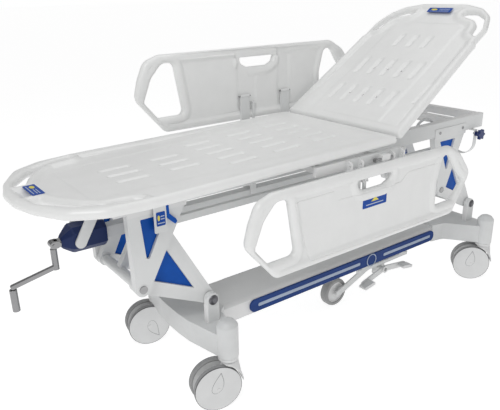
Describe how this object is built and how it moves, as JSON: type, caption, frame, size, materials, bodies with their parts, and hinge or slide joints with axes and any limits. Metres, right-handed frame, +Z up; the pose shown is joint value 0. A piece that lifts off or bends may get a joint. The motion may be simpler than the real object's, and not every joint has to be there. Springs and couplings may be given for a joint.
{
  "type": "stretcher trolley",
  "caption": "Height-adjustable patient stretcher trolley with a tilting backrest, folding side rails, a hand crank and swivel castors.",
  "frame": {"origin": "on the floor, at the middle of the whole trolley's box in plan", "axes": "+X towards the head end, +Y towards the patient's right, +Z up"},
  "size_m": [1.9145, 0.636, 1.1365],
  "materials": {
    "shell_plastic": "smooth moulded plastic, off-white",
    "painted_frame": "powder-coated steel, light grey",
    "cover_plastic": "moulded light-grey covers",
    "blue_panel": "blue painted panel",
    "bumper_plastic": "dark blue bumper strip",
    "inlay": "pale blue-grey inlay",
    "castor_plastic": "light wheel covers and forks",
    "tyre": "grey non-marking tread",
    "steel": "plain and zinc-plated steel",
    "dark_steel": "blackened pin caps",
    "chrome": "polished crank and gas rod",
    "gearbox_paint": "dark navy gearbox",
    "navy_plastic": "navy knob",
    "brass": "lift nut",
    "cable_sheath": "grey cable sheath",
    "gas_body": "black gas spring tube"
  },
  "bodies": {
    "base": {"base_chassis": "painted_frame", "base_spine_cover": "cover_plastic", "base_end_covers": "cover_plastic", "castor_sockets": "cover_plastic", "bumper_strips": "bumper_plastic", "bumper_inlays": "inlay", "lift_lugs": "painted_frame", "lug_pins": "dark_steel", "pedal_bracket": "painted_frame"},
    "fifth_lever": {"fifth_wheel_arm": "painted_frame", "rocker_pedal": "castor_plastic"},
    "fifth_wheel": {"fifth_wheel": "tyre"},
    "foot_crank": {"crank_frame_foot": "painted_frame", "crank_inset_foot": "blue_panel"},
    "head_crank": {"crank_frame_head": "painted_frame", "crank_inset_head": "blue_panel"},
    "sync_bars": {"sync_bars": "painted_frame"},
    "upper_frame": {"frame_rails": "painted_frame", "frame_crossmembers": "painted_frame", "upper_legs": "painted_frame", "leg_insets": "blue_panel", "gearbox_housing": "gearbox_paint", "gearbox_hangers": "painted_frame", "screw_casing": "painted_frame", "release_cable": "cable_sheath", "bottle_hoop": "painted_frame", "deck_panel": "shell_plastic", "frame_bolts": "steel", "rail_mounts": "painted_frame"},
    "drive_screw": {"lift_screw": "steel", "crank_fork": "chrome"},
    "crank_handle": {"crank_handle": "chrome"},
    "crank_grip": {"crank_grip": "chrome"},
    "lift_nut": {"lift_nut": "brass"},
    "hoop_knob": {"hoop_knob": "navy_plastic"},
    "backrest": {"backrest_panel": "shell_plastic", "backrest_lever": "painted_frame"},
    "gas_cylinder": {"gas_cylinder": "gas_body"},
    "gas_rod": {"gas_rod": "chrome"},
    "rail_arms_left": {"rail_arms_left": "painted_frame"},
    "side_rail_left": {"side_rail_left": "shell_plastic"},
    "rail_link_left": {"rail_link_left": "painted_frame"},
    "rail_latch_left": {"rail_latch_left": "steel"},
    "rail_arms_right": {"rail_arms_right": "painted_frame"},
    "side_rail_right": {"side_rail_right": "shell_plastic"},
    "rail_link_right": {"rail_link_right": "painted_frame"},
    "rail_latch_right": {"rail_latch_right": "steel"},
    "swivel_foot_left": {"castor_fork_foot_left": "castor_plastic"},
    "wheel_foot_left": {"castor_wheel_foot_left": "castor_plastic", "castor_tyre_foot_left": "tyre"},
    "swivel_foot_right": {"castor_fork_foot_right": "castor_plastic"},
    "wheel_foot_right": {"castor_wheel_foot_right": "castor_plastic", "castor_tyre_foot_right": "tyre"},
    "swivel_head_left": {"castor_fork_head_left": "castor_plastic"},
    "wheel_head_left": {"castor_wheel_head_left": "castor_plastic", "castor_tyre_head_left": "tyre"},
    "swivel_head_right": {"castor_fork_head_right": "castor_plastic"},
    "wheel_head_right": {"castor_wheel_head_right": "castor_plastic", "castor_tyre_head_right": "tyre"}
  },
  "joints": [
    {"name": "lift", "type": "hinge", "parent": "base", "child": "foot_crank", "pos_m": [-0.412, 0, 0.318], "axis": [0, 1, 0], "range_deg": [-38, 38]},
    {"name": "frame_level", "type": "hinge", "parent": "foot_crank", "child": "upper_frame", "pos_m": [-0.636, 0, 0.429], "axis": [0, 1, 0], "range_deg": [-38, 38]},
    {"name": "head_lift", "type": "hinge", "parent": "base", "child": "head_crank", "pos_m": [0.912, 0, 0.318], "axis": [0, 1, 0], "range_deg": [-38, 38]},
    {"name": "sync_level", "type": "hinge", "parent": "foot_crank", "child": "sync_bars", "pos_m": [-0.558, 0, 0.584], "axis": [0, 1, 0], "range_deg": [-38, 38]},
    {"name": "nut_travel", "type": "slide", "parent": "upper_frame", "child": "lift_nut", "axis": [1, 0, 0], "range_m": [-0.06, 0.06]},
    {"name": "crank_spin", "type": "hinge", "parent": "upper_frame", "child": "drive_screw", "pos_m": [-0.819, 0, 0.566], "axis": [1, 0, 0], "continuous": true},
    {"name": "crank_fold", "type": "hinge", "parent": "drive_screw", "child": "crank_handle", "pos_m": [-0.819, 0, 0.566], "axis": [0, 1, 0], "range_deg": [0, 90]},
    {"name": "grip_spin", "type": "hinge", "parent": "crank_handle", "child": "crank_grip", "pos_m": [-0.938, 0, 0.44], "axis": [0, 0, 1], "continuous": true},
    {"name": "knob_turn", "type": "hinge", "parent": "upper_frame", "child": "hoop_knob", "pos_m": [0.855, -0.19, 0.638], "axis": [0, 1, 0], "continuous": true},
    {"name": "backrest_tilt", "type": "hinge", "parent": "upper_frame", "child": "backrest", "pos_m": [0.24, 0, 0.741], "axis": [0, -1, 0], "range_deg": [-34, 38]},
    {"name": "gas_tilt", "type": "hinge", "parent": "upper_frame", "child": "gas_cylinder", "pos_m": [-0.13, 0.07, 0.69], "axis": [0, -1, 0], "range_deg": [-1, 1]},
    {"name": "gas_stroke", "type": "slide", "parent": "gas_cylinder", "child": "gas_rod", "axis": [0.9997, 0, -0.0243], "range_m": [-0.04, 0.04]},
    {"name": "rail_swing_left", "type": "hinge", "parent": "upper_frame", "child": "rail_arms_left", "pos_m": [0.135, -0.288, 0.666], "axis": [-1, 0, 0], "range_deg": [0, 180]},
    {"name": "rail_level_left", "type": "hinge", "parent": "rail_arms_left", "child": "side_rail_left", "pos_m": [0.135, -0.288, 0.505], "axis": [-1, 0, 0], "range_deg": [-180, 0]},
    {"name": "link_swing_left", "type": "hinge", "parent": "upper_frame", "child": "rail_link_left", "pos_m": [0.078, -0.288, 0.636], "axis": [-1, 0, 0], "range_deg": [0, 180]},
    {"name": "latch_slide_left", "type": "slide", "parent": "upper_frame", "child": "rail_latch_left", "axis": [1, 0, 0], "range_m": [0, 0.014]},
    {"name": "rail_swing_right", "type": "hinge", "parent": "upper_frame", "child": "rail_arms_right", "pos_m": [0.135, 0.288, 0.666], "axis": [-1, 0, 0], "range_deg": [0, 180]},
    {"name": "rail_level_right", "type": "hinge", "parent": "rail_arms_right", "child": "side_rail_right", "pos_m": [0.135, 0.288, 0.827], "axis": [-1, 0, 0], "range_deg": [-180, 0]},
    {"name": "link_swing_right", "type": "hinge", "parent": "upper_frame", "child": "rail_link_right", "pos_m": [0.078, 0.288, 0.636], "axis": [-1, 0, 0], "range_deg": [0, 180]},
    {"name": "latch_slide_right", "type": "slide", "parent": "upper_frame", "child": "rail_latch_right", "axis": [1, 0, 0], "range_m": [0, 0.014]},
    {"name": "fifth_lift", "type": "hinge", "parent": "base", "child": "fifth_lever", "pos_m": [0.44, -0.05, 0.132], "axis": [0, 1, 0], "range_deg": [0, 12]},
    {"name": "fifth_spin", "type": "hinge", "parent": "fifth_lever", "child": "fifth_wheel", "pos_m": [0.248, 0, 0.057], "axis": [0, 1, 0], "continuous": true},
    {"name": "swivel_foot_left", "type": "hinge", "parent": "base", "child": "swivel_foot_left", "pos_m": [-0.415, -0.225, 0.2], "axis": [0, 0, 1], "continuous": true},
    {"name": "roll_foot_left", "type": "hinge", "parent": "swivel_foot_left", "child": "wheel_foot_left", "pos_m": [-0.45866, -0.21411, 0.075], "axis": [0.2419, 0.9703, 0], "continuous": true},
    {"name": "swivel_foot_right", "type": "hinge", "parent": "base", "child": "swivel_foot_right", "pos_m": [-0.415, 0.225, 0.2], "axis": [0, 0, 1], "continuous": true},
    {"name": "roll_foot_right", "type": "hinge", "parent": "swivel_foot_right", "child": "wheel_foot_right", "pos_m": [-0.45902, 0.23436, 0.075], "axis": [0.2079, 0.9781, 0], "continuous": true},
    {"name": "swivel_head_left", "type": "hinge", "parent": "base", "child": "swivel_head_left", "pos_m": [0.915, -0.225, 0.2], "axis": [0, 0, 1], "continuous": true},
    {"name": "roll_head_left", "type": "hinge", "parent": "swivel_head_left", "child": "wheel_head_left", "pos_m": [0.88374, -0.19263, 0.075], "axis": [0.7193, 0.6947, 0], "continuous": true},
    {"name": "swivel_head_right", "type": "hinge", "parent": "base", "child": "swivel_head_right", "pos_m": [0.915, 0.225, 0.2], "axis": [0, 0, 1], "continuous": true},
    {"name": "roll_head_right", "type": "hinge", "parent": "swivel_head_right", "child": "wheel_head_right", "pos_m": [0.87422, 0.24402, 0.075], "axis": [0.4226, 0.9063, 0], "continuous": true}
  ],
  "couplings": [
    {"joint": "frame_level", "follows": "lift", "ratio": -1},
    {"joint": "head_lift", "follows": "lift", "ratio": 1},
    {"joint": "sync_level", "follows": "lift", "ratio": -1},
    {"joint": "nut_travel", "follows": "lift", "m_per_rad": 0.08},
    {"joint": "gas_tilt", "follows": "backrest_tilt", "ratio": 0.009},
    {"joint": "gas_stroke", "follows": "backrest_tilt", "m_per_rad": 0.0575},
    {"joint": "rail_level_left", "follows": "rail_swing_left", "ratio": -1},
    {"joint": "link_swing_left", "follows": "rail_swing_left", "ratio": 1},
    {"joint": "rail_level_right", "follows": "rail_swing_right", "ratio": -1},
    {"joint": "link_swing_right", "follows": "rail_swing_right", "ratio": 1}
  ]
}
